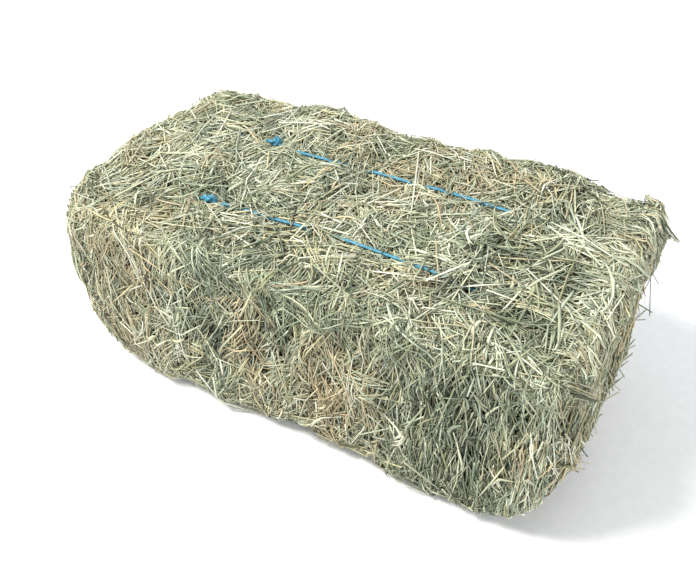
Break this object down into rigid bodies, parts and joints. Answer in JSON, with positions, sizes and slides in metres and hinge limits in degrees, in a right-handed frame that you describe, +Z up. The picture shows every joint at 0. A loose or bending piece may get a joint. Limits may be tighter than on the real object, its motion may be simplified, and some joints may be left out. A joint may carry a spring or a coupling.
{
  "type": "square hay bale",
  "caption": "Small rectangular bale of dried grass hay, pressed in flakes and bound lengthwise with blue plastic twine, knots on top.",
  "frame": {"origin": "on the ground, under the middle of the bale", "axes": "+X along the bale and its strings, +Y across it, +Z up out of the top that shows the knots"},
  "size_m": [0.904, 0.457, 0.356],
  "materials": {
    "hay": "dried grass stems and leaf blades, pale straw to grey-green, matt with a slight straw sheen",
    "twine": "bright blue fibrillated polypropylene baler twine, satin"
  },
  "bodies": {
    "root": {"flake_01": "hay", "flake_02": "hay", "flake_03": "hay", "flake_04": "hay", "flake_05": "hay", "flake_06": "hay", "flake_07": "hay", "flake_08": "hay", "flake_09": "hay", "flake_10": "hay", "flake_11": "hay", "flake_12": "hay", "flake_13": "hay", "twine_front": "twine", "twine_back": "twine"}
  },
  "joints": []
}
